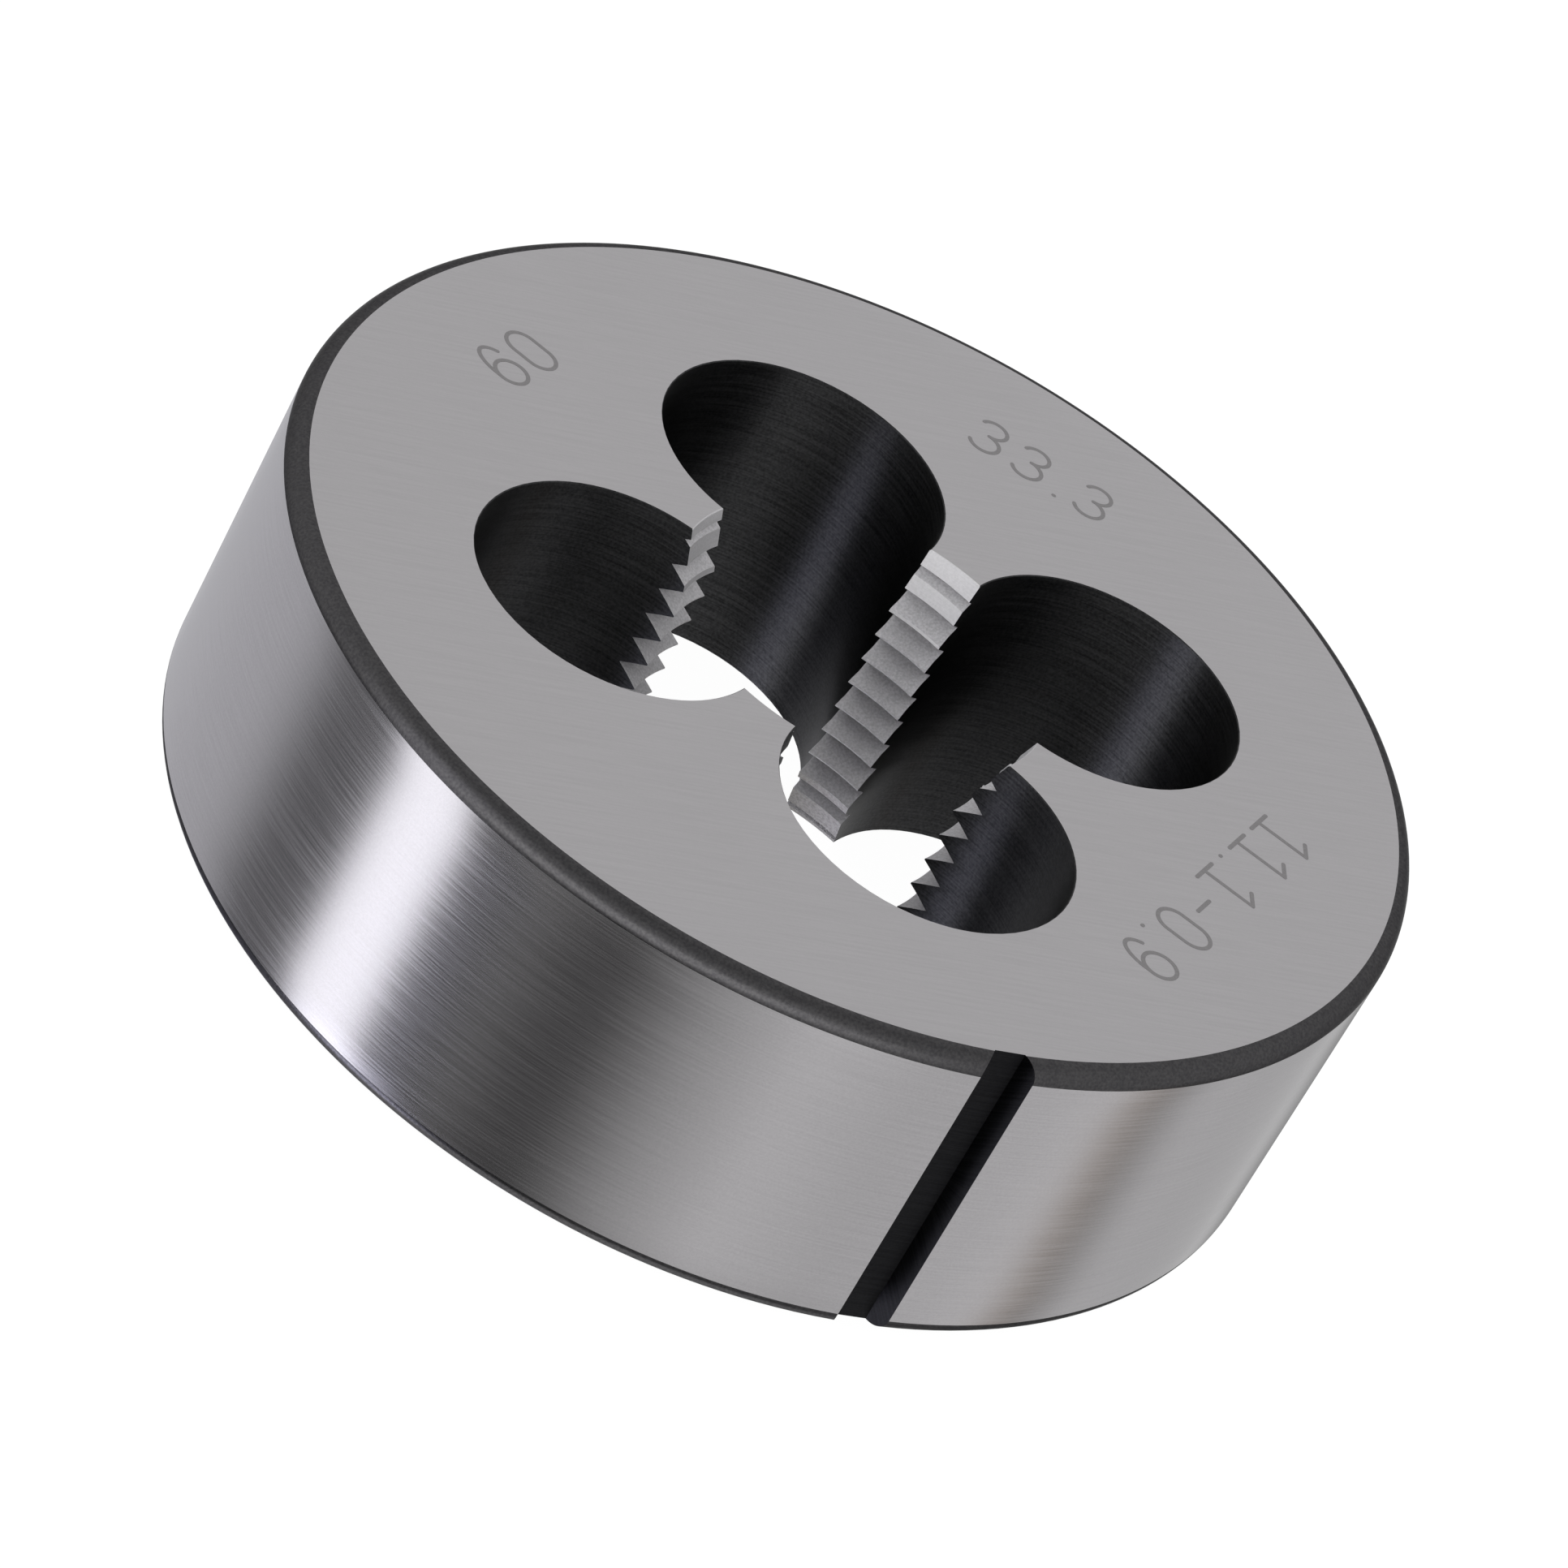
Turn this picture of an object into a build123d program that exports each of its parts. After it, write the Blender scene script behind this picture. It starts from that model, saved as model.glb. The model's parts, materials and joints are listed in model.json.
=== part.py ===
from build123d import *
import math
import os

# Threading die: one round piece of hardened steel that cuts an outside thread on a rod.
# A bore with a right-hand 60 degree thread runs up the middle. Round chip holes break into
# the bore and leave the thread standing on narrow lands. Both ends of the bore open out in
# a lead-in taper, and a small vee groove down the outside takes the point of a set screw.
#
# Millimetres and degrees. +Z is the axis of the die, and the origin is the middle of the
# bottom face, on which the die lies. +X points at the middle of the first chip hole.

# Disc
outer_diameter = 33.34
thickness = 9.9
rim_radius = 0.52

# Chip holes
chip_hole_count = 4
chip_hole_diameter = 8.58
chip_circle_diameter = 14.59

# Thread
thread_major_diameter = 11.11
thread_pitch = 0.907
thread_angle = 60.0
crest_flat = 0.04
thread_start_angle = 300.0

# Lead-in taper at each end of the bore
mouth_diameter = 11.0
lead_in_depth = 2.1

# Groove down the outside, below the middle of the last chip hole
groove_direction = 270.0
groove_mouth = 1.51
groove_depth = 0.56
groove_angle = 60.0

# How far each cut runs past the face that it leaves, and how many more turns the thread has
overrun = 1.0
spare_turns = 2

outer_radius = outer_diameter / 2
chip_hole_radius = chip_hole_diameter / 2
chip_circle_radius = chip_circle_diameter / 2
root_radius = thread_major_diameter / 2
mouth_radius = mouth_diameter / 2

# A thread space is a vee: the slope is how far it reaches out for each millimetre along Z
half_pitch = thread_pitch / 2
flank_slope = 1 / math.tan(math.radians(thread_angle / 2))
sharp_crest_radius = root_radius - flank_slope * half_pitch
bore_radius = sharp_crest_radius + flank_slope * crest_flat / 2
pitch_radius = (root_radius + sharp_crest_radius) / 2
lead_angle = math.degrees(math.atan(thread_pitch / (2 * math.pi * pitch_radius)))

# A land stands midway between each two chip holes
sector_angle = 360 / chip_hole_count
land_angles = [(index + 0.5) * sector_angle for index in range(chip_hole_count)]

through_length = thickness + 2 * overrun


def disc():
    """Turned and ground disc, with both outer edges rounded."""
    blank = Cylinder(outer_radius, thickness, align=(Align.CENTER, Align.CENTER, Align.MIN))
    return fillet(blank.edges().filter_by(GeomType.CIRCLE), rim_radius)


def chip_holes():
    """Straight round holes, evenly spaced about the bore and open into it."""
    hole = Cylinder(chip_hole_radius, through_length, align=(Align.CENTER, Align.CENTER, Align.MIN))
    return Pos(0, 0, -overrun) * PolarLocations(chip_circle_radius, chip_hole_count) * hole


def tapered_bore():
    """Bore at the tips of the teeth, with the lead-in taper at both ends."""
    taper = (mouth_radius - bore_radius) / lead_in_depth
    widest = mouth_radius + taper * overrun
    half_section = Polyline(
        (0, -overrun),
        (widest, -overrun),
        (bore_radius, lead_in_depth),
        (bore_radius, thickness - lead_in_depth),
        (widest, thickness + overrun),
        (0, thickness + overrun),
        close=True,
    )
    return revolve(Plane.XZ * make_face(half_section), Axis.Z)


def thread_space():
    """One vee space between two turns of teeth, over one sector and centred on +X.

    A land is so narrow that a turn of the helix crosses it as a ring tilted by the lead angle.
    """
    section = Polyline(
        (sharp_crest_radius, half_pitch),
        (root_radius, 0),
        (sharp_crest_radius, -half_pitch),
        close=True,
    )
    ring = revolve(Plane.XZ * make_face(section), Axis.Z, sector_angle)
    return Rot(lead_angle, 0, 0) * Rot(0, 0, -sector_angle / 2) * ring


def thread_spaces():
    """The spaces of every land, from above the top face down to below the bottom face.

    At the start angle one space meets the top face. The spaces climb by one pitch for each
    turn anticlockwise, seen from above, which makes the thread right-handed.
    """
    space = thread_space()
    spaces = []
    for land_angle in land_angles:
        climb = (land_angle - thread_start_angle) % 360 / 360 * thread_pitch
        for turn in range(math.ceil(thickness / thread_pitch) + spare_turns):
            level = thickness + climb - turn * thread_pitch
            spaces.append(Pos(0, 0, level) * Rot(0, 0, land_angle) * space)
    return spaces


def set_screw_groove():
    """Flat-bottomed vee down the whole outside, for the point of a set screw."""
    slope = math.tan(math.radians(groove_angle / 2))
    lip = math.sqrt(outer_radius**2 - (groove_mouth / 2) ** 2)
    floor = outer_radius - groove_depth
    outside = outer_radius + overrun
    floor_half_width = groove_mouth / 2 - slope * (lip - floor)
    outside_half_width = groove_mouth / 2 + slope * (outside - lip)
    section = Polyline(
        (floor, -floor_half_width),
        (outside, -outside_half_width),
        (outside, outside_half_width),
        (floor, floor_half_width),
        close=True,
    )
    groove = extrude(make_face(section), through_length, dir=(0, 0, 1))
    return Rot(0, 0, groove_direction) * Pos(0, 0, -overrun) * groove


def die_body():
    """The whole die."""
    blank = disc() - chip_holes() - tapered_bore() - set_screw_groove()
    return blank - thread_spaces()


os.makedirs("parts", exist_ok=True)
export_step(die_body(), "parts/die_body.step")
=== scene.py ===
"""Looks of a round threading die: its true helical thread, its finishes and its studio.

The die is one closed surface, worked out in millimetres with numpy. Its grid has columns
that run once round the die and rows that run round its section: out over the top face,
over the rim and down the outside, in under the bottom face and back up the inner wall.
"""

import json
import math

import bmesh
import bpy
import numpy as np
from mathutils import Matrix, Vector


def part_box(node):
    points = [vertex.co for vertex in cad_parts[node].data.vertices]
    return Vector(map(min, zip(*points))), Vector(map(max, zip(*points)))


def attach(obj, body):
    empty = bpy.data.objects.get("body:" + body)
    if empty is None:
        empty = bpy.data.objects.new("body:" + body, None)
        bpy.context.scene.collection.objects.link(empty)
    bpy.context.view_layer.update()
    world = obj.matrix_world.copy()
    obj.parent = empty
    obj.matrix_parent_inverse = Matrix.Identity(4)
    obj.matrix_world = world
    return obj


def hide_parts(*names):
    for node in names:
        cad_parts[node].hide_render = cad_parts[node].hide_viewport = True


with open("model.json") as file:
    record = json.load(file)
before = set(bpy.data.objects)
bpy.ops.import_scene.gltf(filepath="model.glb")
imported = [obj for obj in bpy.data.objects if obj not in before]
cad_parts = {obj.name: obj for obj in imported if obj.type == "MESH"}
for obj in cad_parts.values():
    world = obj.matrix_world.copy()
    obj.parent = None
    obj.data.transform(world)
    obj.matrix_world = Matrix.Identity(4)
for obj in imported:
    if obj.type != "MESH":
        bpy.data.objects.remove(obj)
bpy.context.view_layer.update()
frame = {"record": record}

MM = 0.001
node_low, node_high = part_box("die_body")
mounts = {mount["name"]: mount for mount in frame["record"]["mounts"]}

# Sizes of the die in millimetres and degrees, as in the part
outer_radius = mounts["holder_seat"]["dims"]["r_mm"]
thickness = (node_high.z - node_low.z) / MM
rim_radius = 0.52
hole_count = 4
hole_radius = 4.29
hole_circle_radius = 7.295
root_radius = mounts["thread"]["dims"]["r_mm"]
thread_pitch = 0.907
thread_angle = 60.0
crest_flat = 0.04
thread_start_angle = 300.0
mouth_radius = 5.5
lead_in_depth = 2.1
groove_direction = 270.0
groove_mouth = 1.51
groove_depth = 0.56
groove_angle = 60.0

# Edges that were broken with a stone after grinding
edge_break = 0.03

half_pitch = thread_pitch / 2
flank_slope = 1 / math.tan(math.radians(thread_angle / 2))
sharp_crest_radius = root_radius - flank_slope * half_pitch
bore_radius = sharp_crest_radius + flank_slope * crest_flat / 2
taper = (mouth_radius - bore_radius) / lead_in_depth
sector = 2 * math.pi / hole_count

# Groove section: its floor, its sides and the place where they meet the outside
side_lean = math.radians(groove_angle / 2)
groove_slope = math.tan(side_lean)
groove_floor = outer_radius - groove_depth
groove_lip = math.sqrt(outer_radius**2 - (groove_mouth / 2) ** 2)
floor_half_width = groove_mouth / 2 - groove_slope * (groove_lip - groove_floor)
floor_angle = math.atan(floor_half_width / groove_floor)
lip_angle = math.asin(groove_mouth / 2 / outer_radius)

# A side lies sideways from the groove's middle by its slope times the way out from the die's
# axis, less this
side_offset = groove_slope * groove_floor - floor_half_width

# Fineness of the grid
LAND_STEPS = 12
HOLE_STEPS = 26
FLOOR_STEPS = 4
SIDE_STEPS = 6
FACE_STEPS = 8
RIM_STEPS = 12
OUTSIDE_STEPS = 10

# How strongly the columns over a hole crowd towards the lands, from 0 to 1
CROWDING = 0.45

# How far round the outside a spoke from the corner of a land reaches, from the hole's middle
corner_spread = math.radians(41.0)

# Beside the groove, the columns are moved up to this angle from its middle
ease_angle = 3 * lip_angle

# Rounds in which the radius of a land and its half angle come to agree
SETTLING_ROUNDS = 4

# A wall counts as cut back to the cone when it lies this close to it, in mm
cone_slack = 0.01

# Slack for rounding where two values are compared
rounding_slack = 1e-6

# Edges sharper than this stay sharp in the shading
sharp_angle = math.radians(14)

# Points closer together than this, in metres, are one point
merge_distance = 1e-8


def even(start, end, steps):
    """Evenly spaced values after the start, up to and with the end."""
    return np.linspace(start, end, steps + 1)[1:]


def hole_marks():
    """Column marks over one chip hole, from -1 at one land to 1 at the next.

    They are close together in the middle, where the groove lies, and at the lands.
    """
    floor_mark = floor_angle / corner_spread
    lip_mark = lip_angle / corner_spread
    crowded = np.sin(even(0, math.pi / 2, HOLE_STEPS))
    share = CROWDING * crowded + (1 - CROWDING) * even(0, 1, HOLE_STEPS)
    half = np.concatenate([
        even(0, floor_mark, FLOOR_STEPS),
        even(floor_mark, lip_mark, SIDE_STEPS),
        lip_mark + (1 - lip_mark) * share,
    ])
    return np.concatenate([-half[::-1][1:], [0.0], half[:-1]])


class Columns:
    """The columns of the grid, once round the die, beginning at the land at 315 degrees."""

    def __init__(self):
        land = np.linspace(-1, 1, LAND_STEPS + 1)
        hole = hole_marks()
        self.per_sector = len(land) + len(hole)
        self.on_land = np.tile(np.arange(self.per_sector) < len(land), hole_count)
        self.mark = np.tile(np.r_[land, hole], hole_count)
        sector_index = np.repeat(np.arange(hole_count), self.per_sector)
        self.land_middle = (sector_index - 0.5) * sector
        self.hole_middle = sector_index * sector
        self.count = len(self.mark)
        from_groove = self.hole_middle - math.radians(groove_direction)
        self.over_groove = ~self.on_land & np.isclose(np.cos(from_groove), 1)


columns = Columns()

# True for each column whose strip up to the next column lies on a land
strip_on_land = columns.on_land & (columns.mark < 1)


def land_half_angle(radius, hole):
    """Half the angle of a land at a radius, by the law of cosines on the hole's circle."""
    cosine = (radius**2 + hole_circle_radius**2 - hole**2) / (2 * radius * hole_circle_radius)
    return sector / 2 - np.arccos(cosine)


def corner_angle(radius, hole):
    """Angle about a hole's middle at which its wall is at a radius from the die's axis."""
    cosine = (radius**2 - hole_circle_radius**2 - hole**2) / (2 * hole_circle_radius * hole)
    return np.arccos(cosine)


def taper_radius(z):
    """Circle of the tips of the teeth: straight, with a cone that opens towards each face."""
    top = bore_radius + taper * (z - thickness + lead_in_depth)
    bottom = bore_radius + taper * (lead_in_depth - z)
    return np.maximum(bore_radius, np.maximum(top, bottom))


def climb_at(angle):
    """Height that the helix has climbed at an angle: one pitch for each turn."""
    start = math.radians(thread_start_angle) - 2 * math.pi
    return (angle - start) / (2 * math.pi) * thread_pitch


def tooth_radius(z, climb):
    """Wall of a land: a vee that falls from each root, and nowhere inside the taper."""
    past_root = (z - thickness - climb + half_pitch) % thread_pitch - half_pitch
    return np.maximum(taper_radius(z), root_radius - flank_slope * np.abs(past_root))


def tooth_rows(climb):
    """Heights of the rows over a land, from the top: roots, flanks, tips and their edges.

    Below each root, the flank meets the bore or a cone where two straight lines cross, and
    so does the flank above the next root. Rows past a face are laid on its edge.
    """
    cone_top = thickness - lead_in_depth
    cone_bottom = lead_in_depth
    rise = root_radius - bore_radius
    rows = []
    for turn in range(-1, math.ceil(thickness / thread_pitch) + 2):
        root = thickness + climb - turn * thread_pitch
        lower_root = root - thread_pitch
        upper_edge = np.maximum.reduce([
            root - rise / flank_slope,
            (flank_slope * root - rise - taper * cone_top) / (flank_slope - taper),
            (flank_slope * root - rise + taper * cone_bottom) / (flank_slope + taper),
        ])
        lower_edge = np.minimum.reduce([
            lower_root + rise / flank_slope,
            (flank_slope * lower_root + rise + taper * cone_top) / (flank_slope + taper),
            (flank_slope * lower_root + rise - taper * cone_bottom) / (flank_slope - taper),
        ])
        rows += [
            root,
            (root + upper_edge) / 2,
            upper_edge,
            np.clip(cone_top, lower_edge, upper_edge),
            np.clip(cone_bottom, lower_edge, upper_edge),
            lower_edge,
            (lower_edge + lower_root) / 2,
        ]
    return np.clip(np.array(rows), edge_break, thickness - edge_break)


def inner_path(radius, hole):
    """Points round the inside, where lands lie at a radius and the holes have another.

    A point of a land turns about the axis by its mark times the land's half angle. A point
    of a hole turns about the hole's middle by its mark times the corner's angle.
    """
    turn = columns.mark * land_half_angle(radius, hole)
    land_x = radius * np.cos(columns.land_middle + turn)
    land_y = radius * np.sin(columns.land_middle + turn)
    swing = columns.hole_middle + columns.mark * corner_angle(radius, hole)
    hole_x = hole_circle_radius * np.cos(columns.hole_middle) + hole * np.cos(swing)
    hole_y = hole_circle_radius * np.sin(columns.hole_middle) + hole * np.sin(swing)
    return np.where(columns.on_land, land_x, hole_x), np.where(columns.on_land, land_y, hole_y)


def over_holes(values):
    """Fills the hole columns of a table from the lands on both sides, along a straight line."""
    table = values.reshape(len(values), hole_count, columns.per_sector).copy()
    last = LAND_STEPS
    before = table[:, :, last, None]
    after = np.roll(table[:, :, 0], -1, axis=1)[:, :, None]
    share = (1 + columns.mark[last + 1:columns.per_sector]) / 2
    table[:, :, last + 1:] = before + (after - before) * share
    return table.reshape(len(values), -1)


def inner_wall():
    """Rows down the inside: x, y and z of the lands with their teeth, and of the holes.

    A land's half angle depends on its radius and the radius on the climb at that angle, so
    the two are worked out in turn until they agree.
    """
    turns = climb_at(columns.land_middle) / thread_pitch
    full_turns = np.floor(turns + rounding_slack) * thread_pitch
    radius = np.full((1, columns.count), bore_radius)
    for _ in range(SETTLING_ROUNDS):
        angle = columns.land_middle + columns.mark * land_half_angle(radius, hole_radius)
        climb = climb_at(angle) - full_turns
        z = tooth_rows(climb[0])
        radius = tooth_radius(z, climb)
    z = over_holes(z)
    radius = over_holes(radius)
    x, y = inner_path(radius, hole_radius)
    return x, y, z


def groove_limit(angle):
    """Radius of the groove's surface at an angle from its middle: the floor, then a side."""
    floor = groove_floor / np.cos(angle)
    side = side_offset / (groove_slope * np.cos(angle) - np.sin(angle))
    return np.where(angle <= floor_angle, floor, side)


def lip_angle_at(radius):
    """Angle from the groove's middle at which its side meets a circle of the radius."""
    past_side = np.arcsin(side_offset * math.cos(side_lean) / radius)
    return np.maximum(side_lean - past_side, floor_angle)


def outer_ring(radius, z):
    """One row round the outside, let in by the groove, with a column on each of its edges."""
    angle = columns.mark * np.where(columns.on_land, sector / 2 - corner_spread, corner_spread)
    middle = np.where(columns.on_land, columns.land_middle, columns.hole_middle)
    lip = lip_angle_at(radius)
    away = np.abs(angle)
    on_side = floor_angle + (away - floor_angle) * (lip - floor_angle) / (lip_angle - floor_angle)
    beside = lip + (away - lip_angle) * (ease_angle - lip) / (ease_angle - lip_angle)
    moved = np.where(away <= floor_angle, away, np.where(away <= lip_angle, on_side, beside))
    near_groove = columns.over_groove & (away < ease_angle)
    away = np.where(near_groove, moved, away)
    limit = np.where(near_groove, groove_limit(np.minimum(away, ease_angle)), np.inf)
    around = middle + np.sign(angle) * away
    reach = np.minimum(radius, limit)
    return reach * np.cos(around), reach * np.sin(around), np.full(columns.count, z)


def outside():
    """Rows over the rim, down the outside and round the lower rim, each rim a quarter circle."""
    turn = np.linspace(math.pi / 2, 0, RIM_STEPS + 1)
    rim_reach = outer_radius - rim_radius + rim_radius * np.cos(turn)
    rim_level = rim_radius * np.sin(turn) - rim_radius
    radii = np.r_[rim_reach, np.full(OUTSIDE_STEPS - 1, outer_radius), rim_reach[::-1]]
    levels = np.r_[
        thickness + rim_level,
        np.linspace(thickness - rim_radius, rim_radius, OUTSIDE_STEPS + 1)[1:-1],
        -rim_level[::-1],
    ]
    rings = [outer_ring(radius, level) for radius, level in zip(radii, levels)]
    return tuple(np.array(axis) for axis in zip(*rings))


def die_rows():
    """All rows of the die as one table of points, with the name of each band of rows.

    The faces are straight spokes from the inner edge to the rim.
    """
    wall_x, wall_y, wall_z = inner_wall()
    out_x, out_y, out_z = outside()
    share = np.linspace(0, 1, FACE_STEPS + 1)[:-1, None]
    faces = []
    for level, row in ((thickness, 0), (0.0, -1)):
        radius = np.hypot(wall_x[row], wall_y[row])
        land = over_holes(radius[None, :])[0] + edge_break
        edge_x, edge_y = inner_path(land, hole_radius + edge_break)
        x = edge_x + (out_x[row] - edge_x) * share
        y = edge_y + (out_y[row] - edge_y) * share
        faces.append(np.stack([x, y, np.full_like(x, level)], axis=-1))
    top, bottom = faces
    rows = np.concatenate([
        top,
        np.stack([out_x, out_y, out_z], axis=-1),
        bottom[::-1],
        np.stack([wall_x, wall_y, wall_z], axis=-1)[::-1],
    ])
    bands = (
        ["face"] * FACE_STEPS
        + ["rim"] * RIM_STEPS
        + ["outside"] * OUTSIDE_STEPS
        + ["rim"] * RIM_STEPS
        + ["face"] * FACE_STEPS
        + ["edge"]
        + ["wall"] * (len(wall_x) - 1)
        + ["edge"]
    )
    return rows, np.array(bands)


def in_groove():
    """True for each column whose strip up to the next column lies in the groove."""
    angle = columns.mark * corner_spread
    from_first_lip = angle >= -lip_angle - rounding_slack
    return columns.over_groove & from_first_lip & (angle < lip_angle - rounding_slack)


def finish_coordinates(corners, bands):
    """Millimetres along and across the tool marks, for each corner of each quad.

    On the faces they are x and y. On the outside and the rims, along is the angle about the
    axis times the outside radius. In a chip hole it is the angle about the hole's middle
    times the hole's radius, and on a land the angle about the axis times the root radius.
    Across is the height, with the distance from the outside or from the axis added where the
    surface leans.
    """
    middle = np.where(strip_on_land, columns.land_middle, columns.hole_middle)[None, :, None]
    x, y, z = np.moveaxis(corners, -1, 0)
    local_x = x * np.cos(middle) + y * np.sin(middle)
    local_y = y * np.cos(middle) - x * np.sin(middle)
    reach = np.hypot(x, y)
    turn = np.arctan2(local_y, local_x) + middle
    swing = np.arctan2(local_y, local_x - hole_circle_radius) + middle
    side = np.sign(z - thickness / 2)
    along_outside = np.stack([turn * outer_radius, z + side * (outer_radius - reach)], axis=-1)
    along_hole = np.stack([swing * hole_radius, z], axis=-1)
    along_land = np.stack([turn * root_radius, z + reach], axis=-1)
    on_land = strip_on_land[None, :, None, None]
    on_face = (bands == "face")[:, None, None, None]
    on_outside = ((bands == "outside") | (bands == "rim"))[:, None, None, None]
    inside = np.where(on_land, along_land, along_hole)
    return np.where(on_face, corners[..., :2], np.where(on_outside, along_outside, inside))


def smooth_mesh(name, points, quads, finish, slot=None, turn_outwards=False):
    """Mesh in metres from points in millimetres, with its doubles merged and shaded smooth.

    The finish coordinates have a row for each corner, and the slot is a number for each quad.
    """
    mesh = bpy.data.meshes.new(name)
    mesh.from_pydata((points * MM).tolist(), [], quads.tolist())
    if slot is not None:
        mesh.polygons.foreach_set("material_index", slot.ravel().astype(np.int32))
    mesh.uv_layers.new(name="finish").data.foreach_set("uv", finish.ravel())
    work = bmesh.new()
    work.from_mesh(mesh)
    bmesh.ops.remove_doubles(work, verts=work.verts, dist=merge_distance)
    if turn_outwards:
        bmesh.ops.recalc_face_normals(work, faces=work.faces)
    work.to_mesh(mesh)
    work.free()
    mesh.polygons.foreach_set("use_smooth", np.ones(len(mesh.polygons), bool))
    mesh.set_sharp_from_angle(angle=sharp_angle)
    return mesh


def die_mesh(name, slots):
    """The closed surface: a quad from each point to the next row and column, both wrapping."""
    rows, bands = die_rows()
    row_count, column_count = rows.shape[:2]
    index = np.arange(row_count * column_count).reshape(row_count, column_count)
    below = np.roll(index, -1, axis=0)
    beside, below_beside = np.roll(index, -1, axis=1), np.roll(below, -1, axis=1)
    quads = np.stack([index, below, below_beside, beside], axis=-1)
    points = rows.reshape(-1, 3)
    corners = points[quads]

    slot = np.full((row_count, column_count), slots["face"])
    slot[bands == "outside"] = slots["outside"]
    slot[bands == "rim"] = slots["rim"]
    slot[np.ix_((bands == "outside") | (bands == "rim"), in_groove())] = slots["groove"]
    slot[(bands == "wall") | (bands == "edge")] = slots["hole"]
    slot[np.ix_(bands == "wall", strip_on_land)] = slots["thread"]

    # The walls of the lands that are cut back to a cone, and the broken edges beside them
    centre_x, centre_y, centre_z = np.moveaxis(corners.mean(axis=2), -1, 0)
    cone = taper_radius(centre_z)
    near_cone = np.abs(np.hypot(centre_x, centre_y) - cone) < cone_slack
    cut_back = near_cone & (cone > bore_radius + cone_slack) & (bands == "wall")[:, None]
    on_cone = strip_on_land & (cut_back | (bands == "edge")[:, None])
    upper = centre_z > thickness / 2
    # Cones in the upper half get a lighter copy of the steel, as painted light
    slot[on_cone & upper] = slots["upper_cone"]
    # Cones in the lower half get a darker copy of the same steel, as painted shade
    slot[on_cone & ~upper] = slots["lower_cone"]
    finish = finish_coordinates(corners, bands)
    return smooth_mesh(name, points, quads.reshape(-1, 4), finish, slot)


def linear(hex_colour):
    """Linear colour of an sRGB hex value."""
    parts = np.array([int(hex_colour[at:at + 2], 16) for at in (1, 3, 5)]) / 255
    parts = np.where(parts <= 0.04045, parts / 12.92, ((parts + 0.055) / 1.055) ** 2.4)
    return [*parts.tolist(), 1.0]


def add_node(owner, kind, inputs=None, **settings):
    """Adds a node to a material or a world.

    The settings are its attributes, and the inputs are values or sockets to link.
    """
    node = owner.node_tree.nodes.new(kind)
    for key, value in settings.items():
        setattr(node, key, value)
    for key, value in (inputs or {}).items():
        if isinstance(value, bpy.types.NodeSocket):
            owner.node_tree.links.new(value, node.inputs[key])
        else:
            node.inputs[key].default_value = value
    return node


def new_material(name):
    """An empty node material and its output node."""
    material = bpy.data.materials.new(name)
    material.use_nodes = True
    material.node_tree.nodes.clear()
    return material, add_node(material, "ShaderNodeOutputMaterial")


def mix_colours(material, factor, first, second):
    """Colour that goes from the first to the second as the factor goes from 0 to 1."""
    return add_node(material, "ShaderNodeMix", {
        "Factor": factor, "A": linear(first), "B": linear(second),
    }, data_type="RGBA").outputs["Result"]


def tool_marks(material, length, width):
    """Fine lines along the finish coordinates: noise stretched to a length and a width in mm."""
    finish = add_node(material, "ShaderNodeUVMap", uv_map="finish")
    stretched = add_node(material, "ShaderNodeMapping", {
        "Vector": finish.outputs["UV"], "Scale": (1 / length, 1 / width, 1.0),
    })
    return add_node(material, "ShaderNodeTexNoise", {
        "Vector": stretched.outputs["Vector"], "Scale": 1.0, "Detail": 3.0, "Roughness": 0.6,
    }, noise_dimensions="2D").outputs["Fac"]


def grain(material, size):
    """Fine grain of a size in mm, even in all directions."""
    place = add_node(material, "ShaderNodeTexCoord")
    return add_node(material, "ShaderNodeTexNoise", {
        "Vector": place.outputs["Object"],
        "Scale": 1 / (size * MM),
        "Detail": 1.0,
        "Roughness": 0.5,
    }).outputs["Fac"]


# The middle part of a noise, where most of its values lie
noise_part = (0.3, 0.7)


def spread(material, value, low, high):
    """Turns the middle part of a noise into the range from low to high."""
    return add_node(material, "ShaderNodeMapRange", {
        "Value": value,
        "From Min": noise_part[0],
        "From Max": noise_part[1],
        "To Min": low,
        "To Max": high,
    }).outputs["Result"]


def relief(material, height, depth, normal=None):
    """Bump of a height map with a depth in mm."""
    inputs = {"Height": height, "Distance": depth * MM, "Strength": 1.0}
    if normal:
        inputs["Normal"] = normal
    return add_node(material, "ShaderNodeBump", inputs).outputs["Normal"]


# How much rougher and smoother than its middle value a finish is along its tool marks
roughness_spread = 0.03


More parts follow.
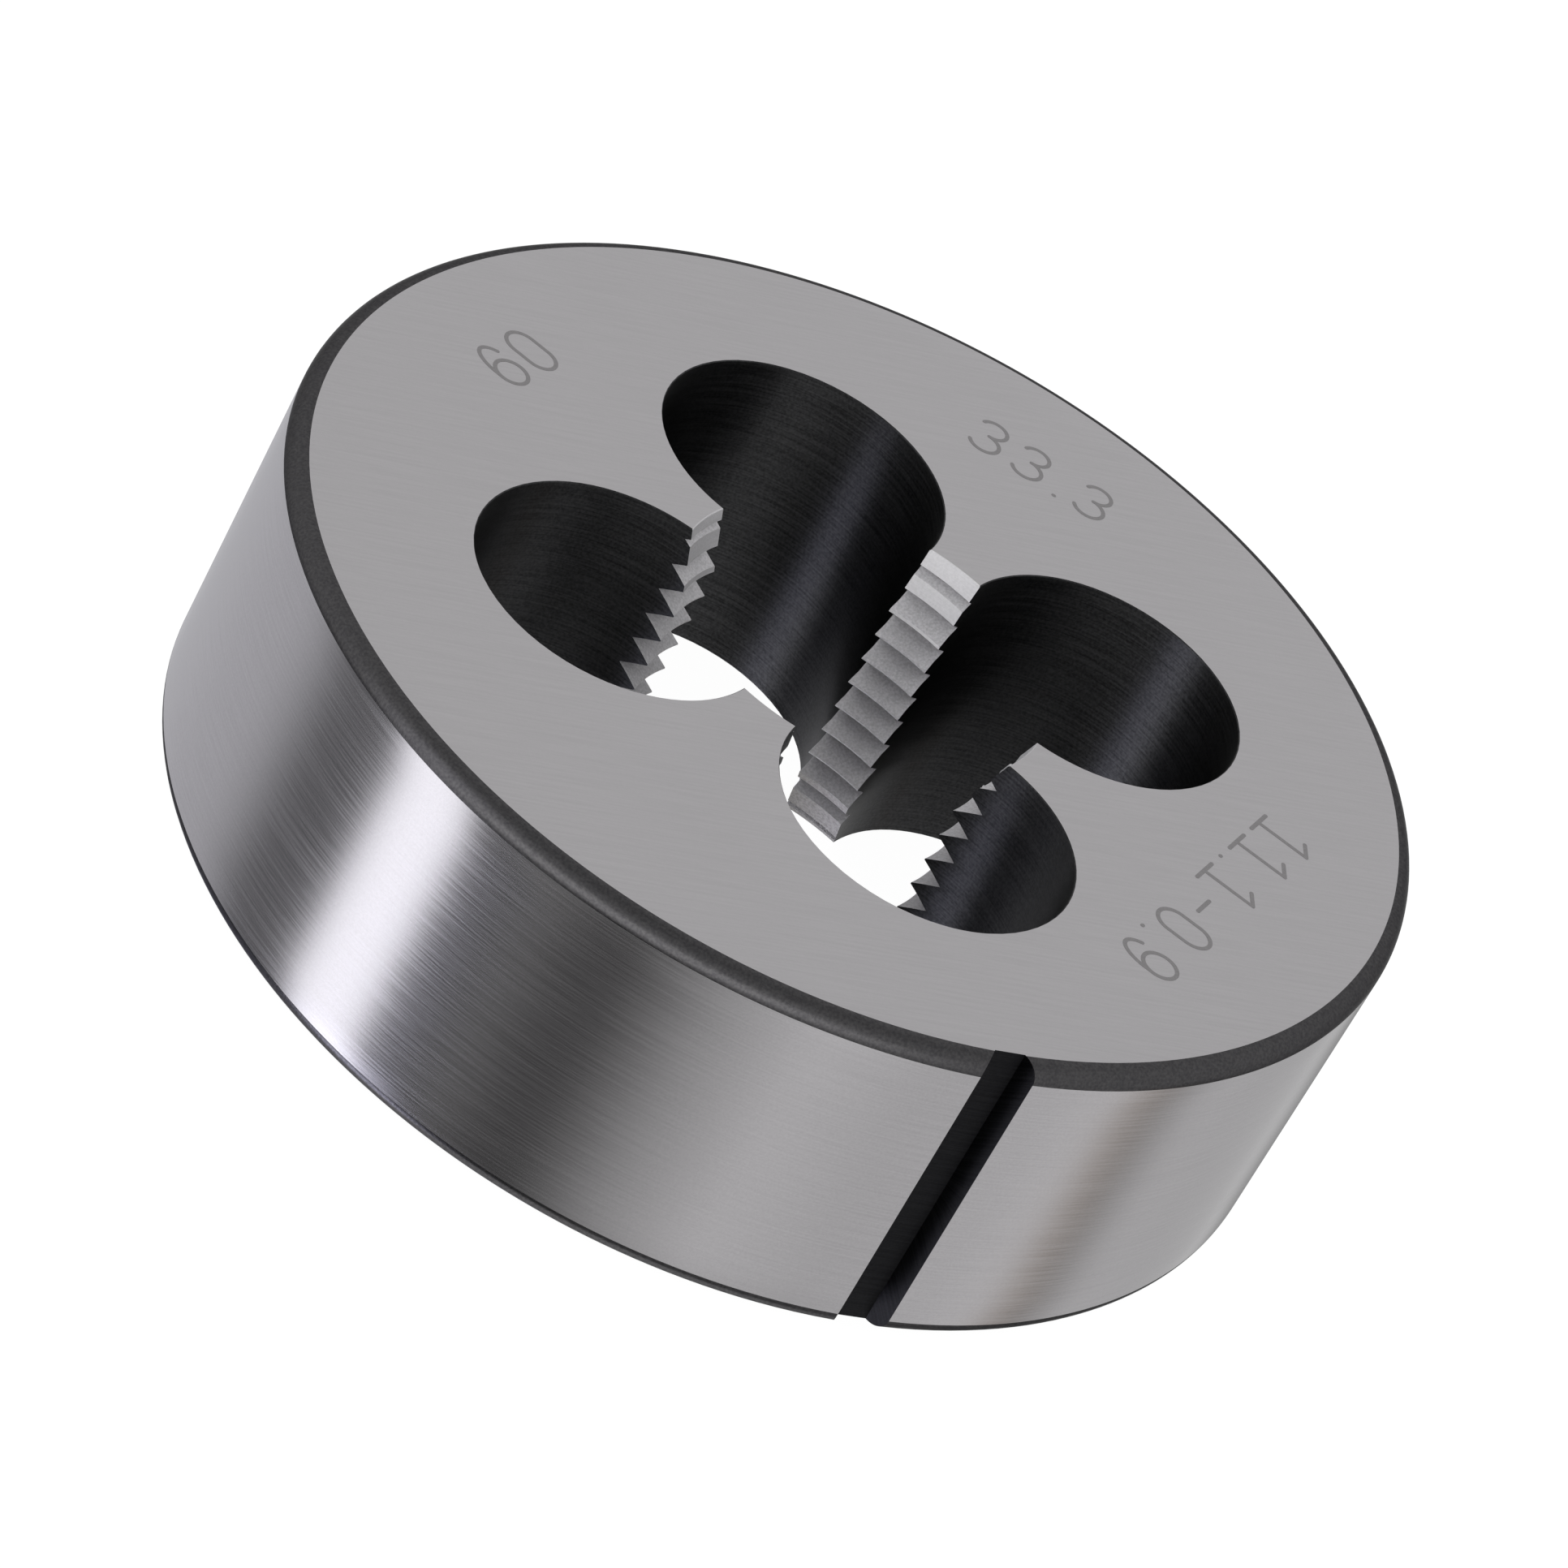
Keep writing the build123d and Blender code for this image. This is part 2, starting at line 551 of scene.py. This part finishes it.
def steel(name, colours, roughness, line_sizes, grain_sizes, speckle, shader_settings=None):
    """A steel finish: tool marks and grain, between two colours and in its relief.

    The lines have a length, a width and a depth in mm, and the grain a size and a depth.
    Speckle is the share of the grain in the colour, and the rest follows the lines.
    """
    material, output = new_material(name)
    shader_settings = shader_settings or {}
    line_length, line_width, line_depth = line_sizes
    grain_size, grain_depth = grain_sizes
    lines = tool_marks(material, line_length, line_width)
    grains = grain(material, grain_size)
    both = add_node(material, "ShaderNodeMix", {
        "Factor": speckle,
        "A": spread(material, lines, 0.0, 1.0),
        "B": spread(material, grains, 0.0, 1.0),
    }, data_type="FLOAT").outputs["Result"]
    normal = relief(material, grains, grain_depth, relief(material, lines, line_depth))
    shader = add_node(material, "ShaderNodeBsdfPrincipled", {
        "Base Color": mix_colours(material, both, *colours),
        "Metallic": 1.0,
        "Roughness": spread(material, lines, roughness - roughness_spread,
                            roughness + roughness_spread),
        "Normal": normal,
        **shader_settings,
    })
    if "Anisotropic" in shader_settings:
        settings = {"direction_type": "UV_MAP", "uv_map": "finish"}
        tangent = add_node(material, "ShaderNodeTangent", **settings)
        material.node_tree.links.new(tangent.outputs["Tangent"], shader.inputs["Tangent"])
    material.node_tree.links.new(shader.outputs["BSDF"], output.inputs["Surface"])
    return material


# Lines are wider than the marks of a real wheel or reamer, about 0.02 mm, so that they show
materials = {
    # Ground on a surface grinder: pale satin with very fine straight streaks, all one way
    "face": steel("surface_ground_steel", ("#AAA8AA", "#B2B0B2"), 0.36,
                  (3.0, 0.09, 0.0001), (0.08, 0.0002), 0.2),
    # Ground between centres: mirrors the lights in bands with soft edges, along very fine lines
    "outside": steel("cylinder_ground_steel", ("#AEACAE", "#BAB8BA"), 0.2,
                     (4.0, 0.06, 0.00005), (0.06, 0.00012), 0.4),
    # Turned and left with its hardening scale: dark grey and grainy, with a broad dull shine that
    # hardly grows towards the outline
    "rim": steel("hardening_scale", ("#414042", "#525152"), 0.3,
                 (1.0, 0.08, 0.0002), (0.08, 0.0025), 0.8, {"Specular Tint": linear("#B4B4B4")}),
    # Milled before the blacking: almost black, with lines down the groove's length
    "groove": steel("black_oxide_milled", ("#161618", "#242426"), 0.36,
                    (2.0, 0.06, 0.0005), (0.06, 0.001), 0.3),
    # Reamed and blacked: near black, with a tall soft sheen drawn out across the reamer's rings
    "hole": steel("black_oxide_reamed", ("#232324", "#444445"), 0.4,
                  (3.0, 0.07, 0.0004), (0.08, 0.002), 0.45,
                  {"Anisotropic": 0.8, "Anisotropic Rotation": 0.25}),
    # Cut by a tap and lapped: bright but matt flanks with a fine grain
    "thread": steel("tapped_steel", ("#C1C0C2", "#DAD9DB"), 0.8,
                    (1.0, 0.05, 0.0002), (0.07, 0.002), 0.8),
    # Ground after the tapping, and painted a little brighter than the flanks: painted light on
    # the top of the bore, a lit copy of the lower cone's steel
    "upper_cone": steel("cone_steel_painted_light", ("#CAC9CB", "#DAD9DB"), 0.62,
                        (1.0, 0.05, 0.0001), (0.07, 0.0005), 0.5),
    # The same ground steel at the bottom of the bore, painted far darker as painted shade: dull
    # grey stripes between the teeth
    "lower_cone": steel("cone_steel_painted_shade", ("#676563", "#82807E"), 0.5,
                        (1.0, 0.05, 0.0002), (0.07, 0.002), 0.8),
    # Marked with a laser: grey oxide, flat and darker than the ground face round it
    "numbers": steel("laser_marked_steel", ("#868485", "#939192"), 0.5,
                     (0.2, 0.1, 0.0001), (0.06, 0.001), 0.5),
}

# The die has every finish but that of the numbers, which is the last
slots = {name: place for place, name in enumerate(materials) if name != "numbers"}
die = bpy.data.objects.new("threading_die", die_mesh("threading_die", slots))
bpy.context.scene.collection.objects.link(die)
for name in slots:
    die.data.materials.append(materials[name])
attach(die, "root")
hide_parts("die_body")

# Plain numbers on the top face, in millimetres and degrees: where the middle of each stands
# about the axis, and how far it is turned from square to the radius
number_marks = (
    {"text": "11.1-0.9", "angle": -44.8, "radius": 11.99, "turn": 0.0},
    {"text": "33.3", "angle": 48.7, "radius": 12.29, "turn": 4.5},
    {"text": "60", "angle": 131.7, "radius": 12.6, "turn": 0.0},
)
digit_width = 0.92
digit_height = 1.64
digit_advance = 1.42
point_advance = 0.66
stroke_width = 0.13
stroke_height = 0.006

# Each further stroke of a sign lies this much higher, so that no two share a surface
stroke_lift = 0.0005

# Across a stroke: shares of its half width, and levels as shares of its height. The foot
# reaches into the die.
stroke_shares = np.array([-1.0, -1.0, -0.86, 0.86, 1.0, 1.0])
stroke_levels = np.array([-5.0, 0.6, 1.0, 1.0, 0.6, -5.0])

# Rows round each end of a stroke
END_STEPS = 6


def arc(middle, reach, start, end, steps=28):
    """Points of an ellipse's arc: its middle, plus its reach times the cosine and the sine."""
    turn = np.radians(np.linspace(start, end, steps + 1))
    return np.array(middle) + np.array(reach) * np.stack([np.cos(turn), np.sin(turn)], axis=1)


def straight(start, end, steps=6):
    """Points of a straight stroke."""
    share = np.linspace(0, 1, steps + 1)[:, None]
    return np.array(start) + (np.array(end) - np.array(start)) * share


# The hook and loop of a six, which is also a nine when it is turned half round
hook = np.concatenate([
    arc((0, -0.05), (0.5, 0.55), 38, 180),
    straight((-0.5, -0.05), (-0.5, -0.16), 2),
])
loop = arc((0, -0.19), (0.5, 0.31), 180, 540, 44)

# The strokes of each sign in a box from -0.5 to 0.5, wide and high
strokes = {
    "0": [np.concatenate([
        arc((0, 0.18), (0.5, 0.32), 0, 180),
        arc((0, -0.18), (0.5, 0.32), 180, 360),
        [(0.5, 0.18)],
    ])],
    "1": [
        straight((-0.5, 0.32), (0.02, 0.5)),
        straight((0.02, 0.5), (0.02, -0.5), 10),
        straight((-0.5, -0.5), (0.5, -0.5)),
    ],
    "3": [arc((-0.02, 0.26), (0.46, 0.24), 155, -90), arc((-0.02, -0.24), (0.5, 0.26), 90, -155)],
    "6": [hook, loop],
    "9": [-hook, -loop],
    "-": [straight((-0.38, -0.06), (0.38, -0.06))],
    ".": [straight((0, -0.5), (0.02, -0.5), 1)],
}


def ribbon(path, closed):
    """A flat stroke: a profile carried along a path, with round ends.

    A row is the path, plus its sideways direction times half the stroke's width times the
    profile's share, at the profile's height. At an end the rows run on by that half width
    times the sine of an angle and narrow by its cosine, down to a point.
    """
    half = stroke_width / 2
    along = np.roll(path, -1, 0) - np.roll(path, 1, 0) if closed else np.gradient(path, axis=0)
    along /= np.hypot(*along.T)[:, None]
    narrow = np.ones(len(path))
    if not closed:
        turn = even(0, math.pi / 2, END_STEPS)[:, None]
        start = path[0] - along[0] * half * np.sin(turn[::-1])
        end = path[-1] + along[-1] * half * np.sin(turn)
        path = np.concatenate([start, path, end])
        narrow = np.concatenate([np.cos(turn[::-1, 0]), narrow, np.cos(turn[:, 0])])
        first, last = along[:1].repeat(END_STEPS, 0), along[-1:].repeat(END_STEPS, 0)
        along = np.concatenate([first, along, last])
    side = np.stack([along[:, 1], -along[:, 0]], axis=1)
    flat = path[:, None] + side[:, None] * (narrow[:, None] * stroke_shares * half)[..., None]
    level = np.broadcast_to(stroke_levels[:, None] * stroke_height, (*flat.shape[:2], 1))
    return np.concatenate([flat, level], axis=2)


def direction_at(degrees):
    """Unit vector at an angle about the axis."""
    return np.array([math.cos(math.radians(degrees)), math.sin(math.radians(degrees))])


def numbers_mesh(name):
    """All strokes of all numbers, each a grid of quads that is closed round and at its ends."""
    points, quads, count = [], [], 0
    for mark in number_marks:
        advance = [point_advance if sign == "." else digit_advance for sign in mark["text"]]
        middles = np.cumsum(advance) - np.array(advance) / 2 - sum(advance) / 2
        across = direction_at(mark["angle"] + mark["turn"] - 90)
        upward = direction_at(mark["angle"] + mark["turn"])
        centre = mark["radius"] * direction_at(mark["angle"])
        for place, sign in zip(middles, mark["text"]):
            for layer, stroke in enumerate(strokes[sign]):
                closed = np.allclose(stroke[0], stroke[-1])
                path = stroke[:-1] if closed else stroke
                apart = np.r_[True, np.hypot(*np.diff(path, axis=0).T) > rounding_slack]
                rows = ribbon(path[apart] * (digit_width, digit_height) + (place, 0), closed)
                flat = centre + rows[..., :1] * across + rows[..., 1:2] * upward
                level = rows[..., 2:] + thickness + layer * stroke_lift
                rows = np.concatenate([flat, level], axis=2)
                index = count + np.arange(rows.shape[0] * rows.shape[1]).reshape(rows.shape[:2])
                ahead = np.roll(index, -1, 0) if closed else index[1:]
                here = index if closed else index[:-1]
                corners = np.stack([here, ahead, np.roll(ahead, -1, 1), np.roll(here, -1, 1)], -1)
                quads.append(corners.reshape(-1, 4))
                points.append(rows.reshape(-1, 3))
                count += len(points[-1])
    points = np.concatenate(points)
    quads = np.concatenate(quads)
    return smooth_mesh(name, points, quads, points[quads][..., :2], turn_outwards=True)


numbers = bpy.data.objects.new("number_marks", numbers_mesh("number_marks"))
bpy.context.scene.collection.objects.link(numbers)
numbers.data.materials.append(materials["numbers"])
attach(numbers, "root")

# Camera, as fitted to the circles of the die in the photograph
aim = Vector((-0.39, -0.75, 4.95)) * MM
view_azimuth = math.radians(-121.66)
view_elevation = math.radians(34.17)
view_distance = 200.36 * MM
view_roll = math.radians(29.42)
lens_mm = 168.17


def set_camera():
    """Camera at the photograph's angle, turned about its own axis as the photograph is."""
    data = bpy.data.cameras.new("camera")
    data.lens = lens_mm
    data.sensor_width = 36.0
    data.clip_start = 10 * MM
    camera = bpy.data.objects.new("camera", data)
    bpy.context.scene.collection.objects.link(camera)
    level = math.cos(view_elevation)
    back = Vector((
        level * math.cos(view_azimuth),
        level * math.sin(view_azimuth),
        math.sin(view_elevation),
    ))
    turn = back.to_track_quat("Z", "Y").to_matrix().to_4x4()
    place = Matrix.Translation(aim + back * view_distance)
    camera.matrix_world = place @ turn @ Matrix.Rotation(view_roll, 4, "Z")
    bpy.context.scene.camera = camera


set_camera()
bpy.context.scene.view_settings.view_transform = "Standard"

# Lights and black cards that stand round the die below its height, which the outside and the
# chip holes mirror: the angle from the camera, seen from above, and the brightness there. These
# are all the 32 stops that a colour ramp can hold.
low_lights = (
    (-180, 0.5), (-166, 0.68), (-158, 0.6), (-138, 0.68), (-106, 0.69), (-98, 0.58), (-87, 0.19),
    (-68.8, 0.13), (-63.8, 2.2), (-50, 2.2), (-48.5, 1.7), (-45.2, 0.02), (-28, 0.2), (-16, 0.09),
    (-8, 0.08), (0, 0.24), (10, 0.52), (19, 0.69), (29, 0.9), (52, 0.73), (80, 0.8),
    (90, 0.93), (96, 0.62), (101, 0.36), (106, 0.5), (113, 0.75), (130, 0.64), (148, 0.61),
    (153, 0.74), (160, 0.4), (166, 0.28), (180, 0.23),
)
# The same lower still, which only the walls of the chip holes and the teeth mirror
deep_lights = (
    (-180, 0.9), (-96, 0.9), (-80, 0.1), (-69, 0.1), (-64, 9.5), (-44, 9.5), (-38, 0.05),
    (40, 0.06), (90, 0.5), (180, 0.6),
)

# Tints: white, bluish for the lights from the left up to the strip, a deeper blue for those of
# them that stand lower still, and warm for one card at the right. The bluish part ends at one
# of these angles, and the warm part lies between the other two.
white_colour = "#FFFFFF"
cool_colour = "#FAFAFF"
blue_colour = "#E9EAFF"
warm_colour = "#FFF4EA"
cool_end = -43
warm_part = (93, 102)

# The lit table, which only the lower rim, the lower cone and the walls of the holes mirror
table_brightness = 1.8

# Soft light over the rest, fainter straight above
open_brightness = 0.84
top_brightness = 0.56

# A wide lamp in front of the die and a tall strip light at the left of it: each pair is where
# its soft edges are half bright, and the third number is how wide they are. The strip fades
# between two heights.
front_lamp = {"sides": (-60.0, 36.0, 50.0), "heights": (-12.0, 26.0, 26.0), "brightness": 2.4}
strip_light = {"sides": (-64.0, -46.0, 6.0), "fade": (30.0, 60.0), "brightness": 2.0}

# Heights in degrees between which one zone of the studio passes into the one above it
table_to_deep = (-70.0, -56.0)
deep_to_low = (-52.0, -41.0)
low_to_high = (-29.0, -18.0)
open_to_top = (42.0, 78.0)


def set_studio():
    """World light from smooth steps in the direction's angle and height."""
    world = bpy.data.worlds.new("studio")
    bpy.context.scene.world = world
    world.use_nodes = True
    world.node_tree.nodes.clear()

    def math_node(operation, first, second=0.0, third=0.0):
        inputs = {0: first, 1: second, 2: third}
        return add_node(world, "ShaderNodeMath", inputs, operation=operation).outputs[0]

    direction = add_node(world, "ShaderNodeTexCoord").outputs["Generated"]
    parts = add_node(world, "ShaderNodeSeparateXYZ", {"Vector": direction})
    angle = math_node("ARCTAN2", parts.outputs["Y"], parts.outputs["X"])
    angle = math_node("MULTIPLY", angle, math.degrees(1))
    angle = math_node("SUBTRACT", angle, math.degrees(view_azimuth))
    angle = math_node("WRAP", angle, 180.0, -180.0)
    height = math_node("MULTIPLY", math_node("ARCSINE", parts.outputs["Z"]), math.degrees(1))

    def step(value, start, end):
        """0 before the start, 1 after the end and smooth between."""
        return add_node(world, "ShaderNodeMapRange", {
            "Value": value, "From Min": start, "From Max": end,
        }, interpolation_type="SMOOTHSTEP").outputs["Result"]

    def window(value, left, right, soft):
        """1 between left and right, 0 outside, with soft edges about both."""
        rising = step(value, left - soft / 2, left + soft / 2)
        falling = step(value, right - soft / 2, right + soft / 2)
        return math_node("SUBTRACT", rising, falling)

    def blend(factor, base, target):
        """The base where the factor is 0 and the target where it is 1."""
        return add_node(world, "ShaderNodeMix", {
            "Factor": factor, "A": base, "B": target,
        }, data_type="RGBA").outputs["Result"]

    def lit(colour, brightness):
        """Linear light of a tint at a brightness."""
        return [part * brightness for part in linear(colour)[:3]] + [1.0]

    turn = math_node("ADD", math_node("DIVIDE", angle, 360.0), 0.5)

    def ring(lights, left_colour):
        """Light round the die, with a tint for the left part."""
        ramp = add_node(world, "ShaderNodeValToRGB", {"Fac": turn})
        stops = ramp.color_ramp.elements
        for place, (stop_angle, brightness) in enumerate(lights):
            stop = stops[place] if place < len(stops) else stops.new(1.0)
            stop.position = stop_angle / 360 + 0.5
            tint = white_colour
            if stop_angle < cool_end:
                tint = left_colour
            elif warm_part[0] < stop_angle < warm_part[1]:
                tint = warm_colour
            stop.color = lit(tint, brightness)
        return ramp.outputs["Color"]

    open_light = lit(white_colour, open_brightness)
    top_light = lit(white_colour, top_brightness)
    lamp_sides = window(angle, *front_lamp["sides"])
    lamp_heights = window(height, *front_lamp["heights"])
    lamp = math_node("MULTIPLY", lamp_sides, lamp_heights)
    fade = math_node("SUBTRACT", 1.0, step(height, *strip_light["fade"]))
    strip = math_node("MULTIPLY", window(angle, *strip_light["sides"]), fade)
    high = blend(step(height, *open_to_top), open_light, top_light)
    high = blend(lamp, high, lit(white_colour, front_lamp["brightness"]))
    high = blend(strip, high, lit(cool_colour, strip_light["brightness"]))
    table = lit(white_colour, table_brightness)
    deep = blend(step(height, *table_to_deep), table, ring(deep_lights, blue_colour))
    low = blend(step(height, *deep_to_low), deep, ring(low_lights, cool_colour))
    light = blend(step(height, *low_to_high), low, high)
    background = add_node(world, "ShaderNodeBackground", {"Color": light, "Strength": 1.0})
    add_node(world, "ShaderNodeOutputWorld", {"Surface": background.outputs["Background"]})


set_studio()


def add_floor():
    """White acrylic table, lit from below, that carries almost no shadow.

    It reaches 2 metres to each side. The lower lights of the studio stand under it, so the
    die's mirror images leave it out.
    """
    reach = 2.0
    material, output = new_material("backlit_acrylic")
    shader = add_node(material, "ShaderNodeBsdfPrincipled", {
        "Base Color": linear("#404040"),
        "Roughness": 0.6,
        "Emission Color": linear("#FCFCFC"),
        "Emission Strength": 1.0,
    })
    material.node_tree.links.new(shader.outputs["BSDF"], output.inputs["Surface"])
    mesh = bpy.data.meshes.new("floor")
    corners = [(-reach, -reach, 0), (reach, -reach, 0), (reach, reach, 0), (-reach, reach, 0)]
    mesh.from_pydata(corners, [], [(0, 1, 2, 3)])
    mesh.materials.append(material)
    floor = bpy.data.objects.new("floor", mesh)
    floor.visible_glossy = False
    bpy.context.scene.collection.objects.link(floor)


add_floor()
